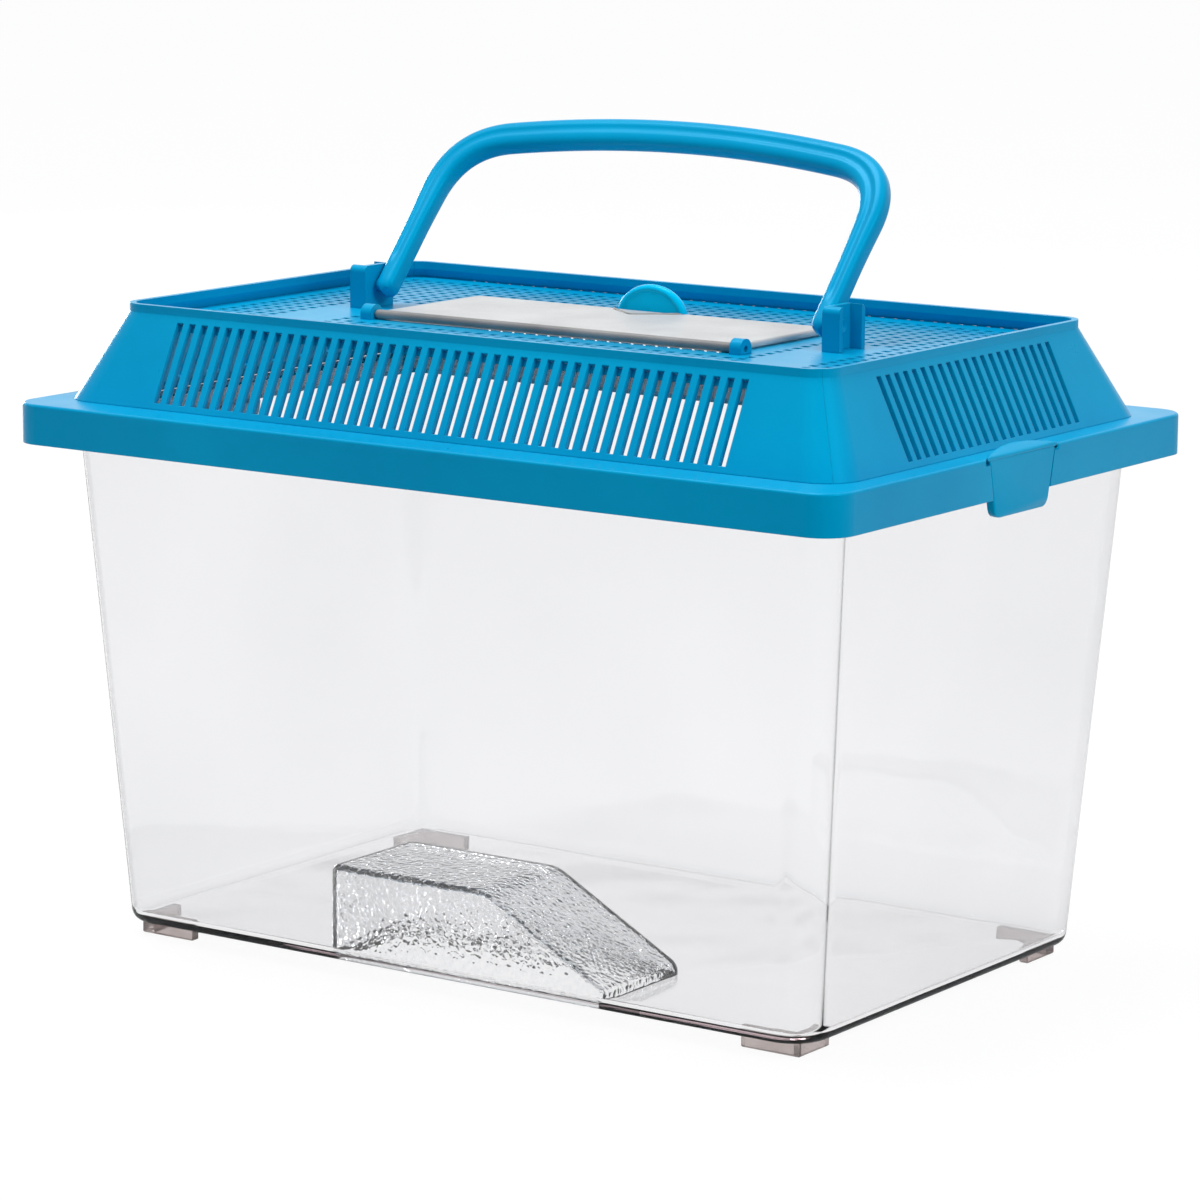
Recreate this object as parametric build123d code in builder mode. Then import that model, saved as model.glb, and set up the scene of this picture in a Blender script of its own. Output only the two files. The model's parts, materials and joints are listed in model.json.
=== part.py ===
from build123d import *
import math
import os

os.makedirs("parts", exist_ok=True)

# Frame: X along the long side, -Y towards the front, +Z up.
# The origin is on the table under the middle of the tank. All sizes are in mm.

# Driving sizes of the tank
tank_length = 257.7          # outside, at the underside of the floor
tank_width = 159.4
tank_corner_radius = 13.0    # upright corners, outside
tank_edge_radius = 4.0       # round edge between walls and floor
wall = 2.2
floor_thickness = 2.4
feet_height = 4.2
rim_top = 167.7              # height of the rim that carries the lid
end_draft = 4.1              # outward lean of the end walls, degrees
side_draft = 3.4             # outward lean of the long walls, degrees
rim_thickness = 2.0
rim_lip_height = 6.5         # turned-down lip round the rim
rim_lip_thickness = 1.8
foot_reach_x = 20.0          # legs of the L-shaped feet
foot_reach_y = 16.0
foot_bar = 3.0
foot_inset = 6.0

# Driving sizes of the moulded basking island
island_left = -45.0
island_top_length = 57.0
island_ramp_length = 45.0
island_depth = 42.0
island_height = 27.4         # above the inside of the floor
island_ramp_foot = 3.0       # height of the ramp's lower end
island_wall = 2.0
island_corner_radius = 2.0   # back corners of the island

# Driving sizes of the lid
lid_overhang_x = 9.43        # of the skirt past the tank's top edge, at each end
lid_overhang_y = 13.09       # the same at the front and back
lid_corner_radius = 10.0
lid_seat_gap = 0.2           # between the rim and the lid's underside
lid_side_gap = 1.1           # between the rim's lip and the skirt
lid_edge_radius = 0.9
skirt_height = 12.5
skirt_thickness = 1.8
flange_thickness = 2.0
shoulder_x = 8.0             # flat shoulder between the skirt and the sloping end walls
shoulder_y = 13.75           # the same at the front and back
hip_base_radius = 12.0
hip_inset_x = 13.15          # how far the end walls slope inward over their height
hip_inset_y = 13.6           # the same at the front and back
crown_radius = 8.5
hip_rise = 27.3              # height of the sloping walls
crown_band = 2.5             # height of the upright band above them
hip_wall = 2.0
deck_drop = 5.3              # from the top of the band to the deck
deck_thickness = 2.0

# Driving sizes of the vents and the deck's grille
vent_pitch = 4.8
vent_slot_width = 2.4
vent_slot_margin = 2.2       # solid wall above and below each slot
long_vent_margin = 25.35     # from the crown's end to the first slot's middle, long walls
short_vent_margin = 27.15    # the same on the end walls
grille_pitch = 5.0
grille_hole = 2.6
grille_margin = 5.5          # solid border round the deck

# Driving sizes of the feeding hatch and its catch
hatch_length = 132.0
hatch_width = 54.0
hatch_thickness = 2.2
hatch_corner_radius = 3.0
hatch_lift = 0.3             # gap between the closed hatch and the deck
hatch_overlap = 4.0          # of the hatch on the deck, at its sides and back
hatch_barrel_radius = 1.3
hatch_pin_radius = 0.9
hatch_pin_length = 3.0
hatch_end_gap = 0.4
hatch_surround = 6.0         # solid border of the grille round the hatch
socket_thickness = 4.0
socket_depth = 6.0
catch_width = 26.0
catch_height = 9.0
catch_thickness = 3.0
catch_gap = 0.4

# Driving sizes of the carrying handle and its lugs
pivot_height = 7.1           # of the handle's pins above the deck
handle_tilt = 41.0           # leaning back from upright in the rest pose
handle_leg_offset = 15.3     # from the hatch's end to the leg's centre line
handle_rise = 64.0           # from the pins to the middle of the grip
handle_arch = 8.3            # how far the grip's ends lie below its middle
handle_leg_width = 6.7
handle_grip_width = 10.0
handle_thickness = 7.0
handle_foot = 3.6            # of the legs below the pins
handle_outer_bend = 20.0
handle_inner_bend = 11.0
handle_edge_radius = 2.6
pin_radius = 2.0
pin_clearance = 0.05
pin_overhang = 1.2           # of the handle's pins past the lug's wall
end_flat = 0.05              # left flat on each side of a rounded end's middle
lug_gap = 0.4
lug_wall = 2.0
lug_reach = 6.0              # of the lug outward from its inner face
lug_depth = 14.5
lug_height = 13.5
lug_corner_radius = 2.0
lug_band_margin = 4.0        # solid band of the deck beside each lug

# Driving sizes of the end latches
latch_top_width = 37.0
latch_foot_width = 30.0
latch_drop = 5.5             # of the latch below the skirt
latch_gap = 0.3              # round the latch's plate and at its hook
latch_lip_width = 41.2       # of the lens-shaped thumb lip
latch_lip_reach = 3.8        # of the lip inward from the skirt's face
latch_lip_thickness = 1.8
latch_lip_stand = 0.5        # of the lip above the flange
latch_notch_gap = 0.7        # behind the lip
latch_pin_radius = 0.7
latch_pin_inset = 1.1        # of the pins' axis from the skirt's face
latch_pin_length = 3.0       # past the lip's ends
latch_corner_radius = 3.0

# Heights and half sizes that follow from the driving sizes
end_slope = math.tan(math.radians(end_draft))
side_slope = math.tan(math.radians(side_draft))
floor_top = feet_height + floor_thickness
wall_rise = rim_top - feet_height
tank_top_length = tank_length + 2 * wall_rise * end_slope
tank_top_width = tank_width + 2 * wall_rise * side_slope
rim_under = rim_top - rim_thickness
lid_length = tank_top_length + 2 * lid_overhang_x
lid_width = tank_top_width + 2 * lid_overhang_y
hip_base_length = lid_length - 2 * shoulder_x
hip_base_width = lid_width - 2 * shoulder_y
crown_length = hip_base_length - 2 * hip_inset_x
crown_width = hip_base_width - 2 * hip_inset_y
flange_under = rim_top + lid_seat_gap
flange_top = flange_under + flange_thickness
skirt_bottom = flange_top - skirt_height
rim_length = lid_length - 2 * (skirt_thickness + lid_side_gap)
rim_width = lid_width - 2 * (skirt_thickness + lid_side_gap)
rim_radius = lid_corner_radius - skirt_thickness - lid_side_gap
hip_top = flange_top + hip_rise
crown_top = hip_top + crown_band
deck_top = crown_top - deck_drop
deck_under = deck_top - deck_thickness
hatch_under = deck_top + hatch_lift
hatch_axis_y = -hatch_width / 2 + hatch_barrel_radius
hatch_axis_z = hatch_under + hatch_barrel_radius
opening_half_x = hatch_length / 2 - hatch_overlap
opening_back = hatch_width / 2 - hatch_overlap
opening_front = -hatch_width / 2 - hatch_end_gap
pivot_z = deck_top + pivot_height
leg_centre = hatch_length / 2 + handle_leg_offset
lug_inner = leg_centre + handle_leg_width / 2 + lug_gap
latch_axis_x = lid_length / 2 - latch_pin_inset
latch_axis_z = flange_top - flange_thickness / 2
latch_foot = skirt_bottom - latch_drop
lip_top = flange_top + latch_lip_stand
lip_under = lip_top - latch_lip_thickness
lug_band_inner = leg_centre - handle_leg_width / 2 - lug_wall
lug_band_outer = lug_inner + lug_reach + lug_band_margin
past_all = lid_length        # longer than any piece, for cuts right through


def cavity(bottom, top, inset):
    """The tank's tapering inside or outside, from one height to another."""
    with BuildPart() as solid:
        for height in (bottom, top):
            spread = height - feet_height
            with BuildSketch(Plane.XY.offset(height)):
                RectangleRounded(
                    tank_length + 2 * spread * end_slope - 2 * inset,
                    tank_width + 2 * spread * side_slope - 2 * inset,
                    tank_corner_radius - inset,
                )
        loft(ruled=True)
    return solid.part


def hip(inset, bottom, top):
    """The sloping lid's outline as a solid, shrunk by a wall thickness."""
    with BuildPart() as solid:
        with BuildSketch(Plane.XY.offset(flange_top)):
            RectangleRounded(
                hip_base_length - 2 * inset,
                hip_base_width - 2 * inset,
                hip_base_radius - inset,
            )
        with BuildSketch(Plane.XY.offset(hip_top)):
            RectangleRounded(crown_length - 2 * inset, crown_width - 2 * inset, crown_radius - inset)
        loft(ruled=True)
        with BuildSketch(Plane.XY.offset(hip_top)):
            RectangleRounded(crown_length - 2 * inset, crown_width - 2 * inset, crown_radius - inset)
        extrude(amount=crown_band)
        with BuildSketch(Plane.XY.offset(bottom)):
            Rectangle(past_all, past_all)
        extrude(amount=top - bottom, mode=Mode.INTERSECT)
    return solid.part


def slope_plane(turn, base_half, crown_half):
    """The outside plane of one sloping wall: turn 0 faces -Y, 90 faces +X."""
    angle = math.radians(turn)
    outward = Vector(math.sin(angle), -math.cos(angle), 0)
    middle = outward * ((base_half + crown_half) / 2) + Vector(0, 0, (flange_top + hip_top) / 2)
    normal = outward * hip_rise + Vector(0, 0, base_half - crown_half)
    return Plane(origin=middle, x_dir=(math.cos(angle), math.sin(angle), 0), z_dir=normal)


def is_inside(x, low, high):
    """True where a whole grille hole round x lies between the edges of a plate."""
    return low + grille_hole / 2 < x < high - grille_hole / 2


def is_grille_hole(x, y):
    """True where the deck carries a hole, clear of the hatch, the lugs and the border."""
    if abs(x) < hatch_length / 2 + hatch_surround and abs(y) < hatch_width / 2 + hatch_surround:
        return False
    if lug_band_inner < abs(x) < lug_band_outer and y < lug_depth / 2 + lug_band_margin:
        return False
    return True


def rectangle_wire(x_low, x_high, y_low, y_high):
    """A closed rectangle in the XY plane."""
    corners = [(x_low, y_low), (x_high, y_low), (x_high, y_high), (x_low, y_high)]
    return Wire.make_polygon(corners)


def square_wire(x, y):
    """The outline of one grille hole round its centre."""
    half = grille_hole / 2
    return rectangle_wire(x - half, x + half, y - half, y + half)


def latch_outline(grow, top):
    """Corners of the latch's tapering plate in the YZ plane, up to a height, grown at its sides."""
    taper = (latch_top_width - latch_foot_width) / 2 / (lip_under - latch_foot)
    top_half = latch_foot_width / 2 + taper * (top - latch_foot) + grow
    foot_half = latch_foot_width / 2 + grow
    return [(-top_half, top), (top_half, top), (foot_half, latch_foot), (-foot_half, latch_foot)]


def lip_face(side, grow):
    """The lens-shaped outline of a latch's thumb lip: straight along the skirt, bowed inward."""
    front = side * (lid_length / 2)
    bow = side * (lid_length / 2 - latch_lip_reach - grow)
    half = latch_lip_width / 2 + grow
    with BuildSketch() as lens:
        with BuildLine():
            ThreePointArc((front, -half), (bow, 0), (front, half))
            Line((front, half), (front, -half))
        make_face()
    return lens.sketch


# Tank: clear walls that lean outward, a floor and four L-shaped feet
island_right = island_left + island_top_length + island_ramp_length
hollow_left = island_left + island_wall
hollow_back = -tank_width / 2 + wall + island_depth
front_inside = -tank_width / 2 + wall
with BuildPart() as tank:
    add(cavity(feet_height, rim_under, 0))
    fillet(tank.edges().group_by(Axis.Z)[0], tank_edge_radius)
    add(cavity(floor_top, rim_under, wall), mode=Mode.SUBTRACT)
    with BuildSketch(Plane.XY.offset(feet_height)):
        with Locations(((hollow_left + island_right - island_wall) / 2, (front_inside + hollow_back) / 2)):
            Rectangle(island_right - island_left - 2 * island_wall, island_depth - 2 * island_wall)
    extrude(amount=floor_thickness, mode=Mode.SUBTRACT)
    corner_x = tank_length / 2 - foot_inset
    corner_y = tank_width / 2 - foot_inset
    for sx in (-1, 1):
        for sy in (-1, 1):
            with BuildSketch(Plane.XY):
                with Locations((sx * (corner_x - foot_reach_x / 2), sy * (corner_y - foot_bar / 2))):
                    Rectangle(foot_reach_x, foot_bar)
                with Locations((sx * (corner_x - foot_bar / 2), sy * (corner_y - foot_reach_y / 2))):
                    Rectangle(foot_bar, foot_reach_y)
            extrude(amount=feet_height)
tank.part.label = "tank"
export_step(tank.part, "parts/tank.step")

# Tank rim: the flat top edge of the walls with its turned-down lip
with BuildPart() as tank_rim:
    with BuildSketch(Plane.XY.offset(rim_under)):
        RectangleRounded(rim_length, rim_width, rim_radius)
    extrude(amount=rim_thickness)
    add(cavity(rim_under, rim_top, wall), mode=Mode.SUBTRACT)
    with BuildSketch(Plane.XY.offset(rim_under)):
        RectangleRounded(rim_length, rim_width, rim_radius)
        RectangleRounded(
            rim_length - 2 * rim_lip_thickness,
            rim_width - 2 * rim_lip_thickness,
            rim_radius - rim_lip_thickness,
            mode=Mode.SUBTRACT,
        )
    extrude(amount=-rim_lip_height)
tank_rim.part.label = "tank_rim"
export_step(tank_rim.part, "parts/tank_rim.step")

# Basking island: a hollow step with a ramp, moulded up from the floor
with BuildPart() as basking_island:
    with BuildSketch(Plane.XZ.offset(-hollow_back)):
        with BuildLine():
            Polyline(
                (island_left, floor_top),
                (island_left, floor_top + island_height),
                (island_left + island_top_length, floor_top + island_height),
                (island_right, floor_top + island_ramp_foot),
                (island_right, floor_top),
                close=True,
            )
        make_face()
    extrude(amount=tank_width)
    fillet(basking_island.edges().filter_by(Axis.Z).group_by(Axis.Y)[-1], island_corner_radius)
    add(cavity(floor_top, rim_top, wall), mode=Mode.INTERSECT)
    with BuildSketch(Plane.XZ.offset(-hollow_back + island_wall)):
        with BuildLine():
            Polyline(
                (hollow_left, floor_top),
                (hollow_left, floor_top + island_height - island_wall),
                (island_left + island_top_length - island_wall / 2, floor_top + island_height - island_wall),
                (island_right - 2 * island_wall, floor_top + island_ramp_foot - island_wall / 2),
                (island_right - 2 * island_wall, floor_top),
                close=True,
            )
        make_face()
    extrude(amount=island_depth - 2 * island_wall, mode=Mode.SUBTRACT)
basking_island.part.label = "basking_island"
export_step(basking_island.part, "parts/basking_island.step")

# Lid flange: the flat shoulder and the skirt that drops over the tank's rim
with BuildPart() as lid_flange:
    with BuildSketch(Plane.XY.offset(skirt_bottom)):
        RectangleRounded(lid_length, lid_width, lid_corner_radius)
    extrude(amount=skirt_height)
    fillet(lid_flange.faces().sort_by(Axis.Z)[-1].edges(), lid_edge_radius)
    with BuildSketch(Plane.XY.offset(skirt_bottom)):
        RectangleRounded(
            lid_length - 2 * skirt_thickness,
            lid_width - 2 * skirt_thickness,
            lid_corner_radius - skirt_thickness,
        )
    extrude(amount=skirt_height - flange_thickness, mode=Mode.SUBTRACT)
    with BuildSketch(Plane.XY.offset(flange_under)):
        RectangleRounded(
            hip_base_length - 2 * hip_wall,
            hip_base_width - 2 * hip_wall,
            hip_base_radius - hip_wall,
        )
    extrude(amount=flange_thickness, mode=Mode.SUBTRACT)
    for side in (-1, 1):
        window_depth = skirt_thickness + latch_gap
        with BuildSketch(Plane.YZ.offset(side * (lid_length / 2 - window_depth))):
            with BuildLine():
                Polyline(*latch_outline(latch_gap, lip_under + latch_gap), close=True)
            make_face()
        extrude(amount=side * window_depth, mode=Mode.SUBTRACT)
        with BuildSketch(Plane.XY.offset(flange_under)):
            add(lip_face(side, latch_notch_gap))
        extrude(amount=flange_thickness, mode=Mode.SUBTRACT)
        with BuildSketch(Plane.XZ):
            with Locations((side * latch_axis_x, latch_axis_z)):
                Circle(latch_pin_radius + pin_clearance)
        bore_reach = latch_lip_width / 2 + latch_pin_length + latch_notch_gap
        extrude(amount=bore_reach, both=True, mode=Mode.SUBTRACT)
lid_flange.part.label = "lid_flange"
export_step(lid_flange.part, "parts/lid_flange.step")

# Sloping walls of the lid: four vent panels that meet at the corner mitres
with BuildPart() as hip_shell:
    add(hip(0, flange_top, crown_top))
    add(hip(hip_wall, flange_top, crown_top), mode=Mode.SUBTRACT)
long_vent_span = crown_length - 2 * long_vent_margin
short_vent_span = crown_width - 2 * short_vent_margin
mitre_run = (hip_base_length - crown_length) / (hip_base_width - crown_width)
mitre_reach = hip_base_width
apex_x = hip_base_length / 2 - mitre_run * hip_base_width / 2
long_wedge = [
    (-apex_x - mitre_run * mitre_reach, -mitre_reach),
    (-apex_x, 0),
    (apex_x, 0),
    (apex_x + mitre_run * mitre_reach, -mitre_reach),
]
short_wedge = [
    (apex_x + mitre_run * mitre_reach, -mitre_reach),
    (apex_x, 0),
    (apex_x + mitre_run * mitre_reach, mitre_reach),
]
long_wall = (long_wedge, 0, hip_base_width / 2, hip_inset_y, long_vent_span)
short_wall = (short_wedge, 90, hip_base_length / 2, hip_inset_x, short_vent_span)
vents = [
    ("front_vent", "back_vent", Plane.XZ, *long_wall),
    ("right_vent", "left_vent", Plane.YZ, *short_wall),
]
for name, twin_name, middle, wedge, facing, base_half, hip_inset, span in vents:
    slope_length = math.hypot(hip_rise, hip_inset)
    with BuildPart() as vent:
        add(hip_shell.part)
        with BuildSketch(Plane.XY.offset(flange_top)):
            with BuildLine():
                Polyline(*wedge, close=True)
            make_face()
        extrude(amount=crown_top - flange_top, mode=Mode.INTERSECT)
        with BuildSketch(slope_plane(facing, base_half, base_half - hip_inset)):
            with GridLocations(vent_pitch, 0, round(span / vent_pitch) + 1, 1):
                Rectangle(vent_slot_width, slope_length - 2 * vent_slot_margin)
        extrude(amount=2 * hip_wall, both=True, mode=Mode.SUBTRACT)
    vent.part.label = name
    export_step(vent.part, "parts/" + name + ".step")
    with BuildPart() as vent_twin:
        mirror(vent.part, about=middle)
    vent_twin.part.label = twin_name
    export_step(vent_twin.part, "parts/" + twin_name + ".step")

# Deck: the sunken, perforated top, in four plates round the hatch opening
deck_reach = crown_length / 2
hole_count_x = 2 * math.floor((deck_reach - hip_wall - grille_margin) / grille_pitch) + 1
hole_count_y = 2 * math.floor((crown_width / 2 - hip_wall - grille_margin) / grille_pitch) + 1
lattice = [
    ((i - hole_count_x // 2) * grille_pitch, (j - hole_count_y // 2) * grille_pitch)
    for i in range(hole_count_x)
    for j in range(hole_count_y)
]
deck_plates = [
    ("deck_right", opening_half_x, deck_reach, -deck_reach, deck_reach),
    ("deck_front", -opening_half_x, opening_half_x, -deck_reach, opening_front),
    ("deck_back", -opening_half_x, opening_half_x, opening_back, deck_reach),
]
for name, x_low, x_high, y_low, y_high in deck_plates:
    inside_plate = [(x, y) for x, y in lattice if is_inside(x, x_low, x_high) and is_inside(y, y_low, y_high)]
    holes = [square_wire(x, y) for x, y in inside_plate if is_grille_hole(x, y)]
    with BuildPart() as deck:
        with BuildSketch(Plane.XY.offset(deck_under)):
            add(Face(rectangle_wire(x_low, x_high, y_low, y_high), holes))
        extrude(amount=deck_thickness)
        add(hip(hip_wall, deck_under, deck_top), mode=Mode.INTERSECT)
    deck.part.label = name
    export_step(deck.part, "parts/" + name + ".step")
    if name == "deck_right":
        with BuildPart() as deck_left:
            mirror(deck.part, about=Plane.YZ)
        deck_left.part.label = "deck_left"
        export_step(deck_left.part, "parts/deck_left.step")

# Lugs: a bored ear with two ribs behind it, at each end of the handle
for name, side in (("handle_lug_left", -1), ("handle_lug_right", 1)):
    with BuildPart() as lug:
        with BuildSketch(Plane.XY.offset(deck_top)):
            with Locations((side * (lug_inner + lug_reach / 2), 0)):
                Rectangle(lug_reach, lug_depth)
            with Locations((side * (lug_inner + lug_wall + lug_reach / 2), 0)):
                Rectangle(lug_reach, lug_depth - 2 * lug_wall, mode=Mode.SUBTRACT)
        extrude(amount=lug_height)
        for end in (0, -1):
            top_edges = lug.faces().sort_by(Axis.Z)[-1].edges().filter_by(Axis.X)
            fillet(top_edges.sort_by(Axis.Y)[end], lug_corner_radius)
        with BuildSketch(Plane.YZ.offset(side * lug_inner)):
            with Locations((0, pivot_z)):
                Circle(pin_radius + pin_clearance)
        extrude(amount=side * lug_wall, mode=Mode.SUBTRACT)
    lug.part.label = name
    export_step(lug.part, "parts/" + name + ".step")

# Handle: an arched grip on two legs, with a pin at the foot of each leg
lean = math.radians(handle_tilt)
handle_plane = Plane(origin=(0, 0, pivot_z), x_dir=(1, 0, 0), z_dir=(0, -math.cos(lean), math.sin(lean)))
outside = leg_centre + handle_leg_width / 2
inside = leg_centre - handle_leg_width / 2
shoulder = handle_rise - handle_arch
grip_half = handle_grip_width / 2
with BuildPart() as handle:
    with BuildSketch(handle_plane) as bail:
        with BuildLine():
            ThreePointArc(
                (-outside, shoulder + grip_half),
                (0, handle_rise + grip_half),
                (outside, shoulder + grip_half),
            )
            Polyline(
                (outside, shoulder + grip_half),
                (outside, -handle_foot),
                (-outside, -handle_foot),
                (-outside, shoulder + grip_half),
            )
        make_face()
        fillet(bail.vertices().group_by(Axis.Y)[-1], handle_outer_bend)
        with BuildLine():
            ThreePointArc(
                (-inside, shoulder - grip_half),
                (0, handle_rise - grip_half),
                (inside, shoulder - grip_half),
            )
            Polyline(
                (inside, shoulder - grip_half),
                (inside, -handle_foot),
                (-inside, -handle_foot),
                (-inside, shoulder - grip_half),
            )
        make_face(mode=Mode.SUBTRACT)
        bends = bail.vertices().filter_by(lambda v: abs(v.Y - shoulder + grip_half) < end_flat)
        fillet(bends, handle_inner_bend)
        fillet(bail.vertices().group_by(Axis.Y)[0], handle_leg_width / 2 - end_flat)
    extrude(amount=handle_thickness / 2, both=True)
    across = Axis(handle_plane.origin, handle_plane.z_dir)
    broad_faces = handle.faces().sort_by(across)
    fillet(broad_faces[0].edges() + broad_faces[-1].edges(), handle_edge_radius)
    for side in (-1, 1):
        with BuildSketch(Plane.YZ.offset(side * leg_centre)):
            with Locations((0, pivot_z)):
                Circle(pin_radius)
        extrude(amount=side * (lug_inner + lug_wall + pin_overhang - leg_centre))
handle.part.label = "handle"
export_step(handle.part, "parts/handle.step")

# Feeding hatch: a thin plate on a barrel along its front edge
with BuildPart() as feeding_hatch:
    with BuildSketch(Plane.XY.offset(hatch_under)) as hatch_outline:
        with Locations((0, (hatch_axis_y + hatch_width / 2) / 2)):
            Rectangle(hatch_length, hatch_width / 2 - hatch_axis_y)
        fillet(hatch_outline.vertices().group_by(Axis.Y)[-1], hatch_corner_radius)
    extrude(amount=hatch_thickness)
    with BuildSketch(Plane.YZ.offset(-hatch_length / 2)):
        with Locations((hatch_axis_y, hatch_axis_z)):
            Circle(hatch_barrel_radius)
    extrude(amount=hatch_length)
    with BuildSketch(Plane.YZ.offset(-hatch_length / 2 - hatch_pin_length)):
        with Locations((hatch_axis_y, hatch_axis_z)):
            Circle(hatch_pin_radius)
    extrude(amount=hatch_length + 2 * hatch_pin_length)
feeding_hatch.part.label = "feeding_hatch"
export_step(feeding_hatch.part, "parts/feeding_hatch.step")

# Hatch sockets: the two small bearings of the hatch's barrel
socket_height = hatch_axis_z + socket_depth / 2 - deck_top
for name, side in (("hatch_socket_left", -1), ("hatch_socket_right", 1)):
    socket_inner = side * (hatch_length / 2 + hatch_end_gap)
    with BuildPart() as socket:
        with BuildSketch(Plane.YZ.offset(socket_inner)) as socket_side:
            with Locations((hatch_axis_y, deck_top + socket_height / 2)):
                Rectangle(socket_depth, socket_height)
            fillet(socket_side.vertices().group_by(Axis.Y)[-1], socket_depth / 2 - end_flat)
            with Locations((hatch_axis_y, hatch_axis_z)):
                Circle(hatch_pin_radius + pin_clearance, mode=Mode.SUBTRACT)
        extrude(amount=side * socket_thickness)
    socket.part.label = name
    export_step(socket.part, "parts/" + name + ".step")

# Hatch catch: the half-round thumb piece behind the hatch
with BuildPart() as hatch_catch:
    with BuildSketch(Plane.XZ.offset(-(hatch_width / 2 + catch_gap))):
        with BuildLine():
            ThreePointArc(
                (-catch_width / 2, deck_top),
                (0, deck_top + catch_height),
                (catch_width / 2, deck_top),
            )
            Line((catch_width / 2, deck_top), (-catch_width / 2, deck_top))
        make_face()
    extrude(amount=-catch_thickness)
hatch_catch.part.label = "hatch_catch"
export_step(hatch_catch.part, "parts/hatch_catch.step")

# End latches: rocking plates in the skirt, with a thumb lip above and a hooked foot below
hook_tip = rim_length / 2 + latch_gap
hook_top = skirt_bottom - latch_gap
for name, side in (("latch_left", -1), ("latch_right", 1)):
    with BuildPart() as latch:
        with BuildSketch(Plane.YZ.offset(side * (lid_length / 2 - skirt_thickness))):
            with BuildLine():
                Polyline(*latch_outline(0, lip_under), close=True)
            make_face()
        extrude(amount=side * skirt_thickness)
        with BuildSketch(Plane.YZ.offset(side * hook_tip)):
            with BuildLine():
                Polyline(*latch_outline(0, hook_top), close=True)
            make_face()
        extrude(amount=side * (lid_length / 2 - hook_tip))
        foot_corners = latch.edges().filter_by(Axis.X).group_by(Axis.Z)[0]
        fillet(foot_corners, latch_corner_radius)
        with BuildSketch(Plane.XY.offset(lip_under)):
            add(lip_face(side, 0))
        extrude(amount=latch_lip_thickness)
        with BuildSketch(Plane.XZ):
            with Locations((side * latch_axis_x, latch_axis_z)):
                Circle(latch_pin_radius)
        extrude(amount=latch_lip_width / 2 + latch_pin_length, both=True)
    latch.part.label = name
    export_step(latch.part, "parts/" + name + ".step")
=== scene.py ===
import json
import math

import bmesh
import bpy
import numpy as np
from mathutils import Matrix, Vector


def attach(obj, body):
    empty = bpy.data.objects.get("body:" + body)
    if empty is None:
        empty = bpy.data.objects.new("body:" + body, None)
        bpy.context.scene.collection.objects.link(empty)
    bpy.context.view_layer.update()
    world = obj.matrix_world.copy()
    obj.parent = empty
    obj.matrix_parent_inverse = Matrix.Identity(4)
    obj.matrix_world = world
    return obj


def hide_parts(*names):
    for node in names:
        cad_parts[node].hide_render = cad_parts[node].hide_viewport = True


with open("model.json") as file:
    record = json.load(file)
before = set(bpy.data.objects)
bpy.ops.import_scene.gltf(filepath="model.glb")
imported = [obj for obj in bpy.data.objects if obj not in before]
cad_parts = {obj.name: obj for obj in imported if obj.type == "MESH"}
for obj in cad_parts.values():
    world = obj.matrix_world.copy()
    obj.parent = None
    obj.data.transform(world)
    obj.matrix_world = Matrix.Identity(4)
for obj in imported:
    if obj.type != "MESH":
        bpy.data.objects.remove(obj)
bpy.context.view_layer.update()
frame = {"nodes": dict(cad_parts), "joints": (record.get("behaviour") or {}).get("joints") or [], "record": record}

mm = 0.001
nodes = frame["nodes"]
print("stage: frame loaded")


# camera and light

cameraSpec = {
    "place": (0.836582, -1.202044, 0.379213),
    "right": (0.82035185, 0.57182224, 0.00649362),
    "up": (-0.10887007, 0.14502025, 0.98342078),
    "lens": 144.146,       # on a 36 mm sensor
    "sensor": 36.0,
    "clipEnd": 30.0,
}


def makeCamera(spec):
    data = bpy.data.cameras.new("photoCamera")
    data.lens = spec["lens"]
    data.sensor_width = spec["sensor"]
    data.clip_end = spec["clipEnd"]
    camera = bpy.data.objects.new("photoCamera", data)
    right, up = Vector(spec["right"]), Vector(spec["up"])
    turn = Matrix((right, up, right.cross(up))).transposed().to_4x4()
    camera.matrix_world = Matrix.Translation(spec["place"]) @ turn
    bpy.context.scene.collection.objects.link(camera)
    bpy.context.scene.camera = camera


lampSpecs = {
    "topLamp": {"place": (-0.5, -0.2, 2.3), "size": 1.2, "power": 40.0},
    "keyLamp": {"place": (2.0, -0.3, 1.5), "size": 0.9, "power": 20.0},
    "rimLamp": {"place": (-1.9, 1.1, 0.35), "size": 0.6, "power": 12.0},
}
aimPoint = Vector((0.0, 0.0, 0.12))


def makeLamps(specs):
    for name, spec in specs.items():
        data = bpy.data.lights.new(name, "AREA")
        data.energy = spec["power"]
        data.size = spec["size"]
        lamp = bpy.data.objects.new(name, data)
        lamp.location = spec["place"]
        lamp.rotation_euler = (aimPoint - lamp.location).to_track_quat("-Z", "Y").to_euler()
        bpy.context.scene.collection.objects.link(lamp)


worldSpec = {
    "zenith": (0.95, 0.97, 1.0),
    "horizon": (0.20, 0.21, 0.23),
    "zenithFrom": 0.9,     # upward part of the direction from where the sky has its zenith colour
    "ambient": 0.70,
    "bent": 0.46,          # light in the directions far from the view, for bent rays
    "bentStart": 0.55,     # cosine to the view where it starts to rise
    "bentEnd": 0.93,       # cosine to the view from where it is white
}


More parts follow.
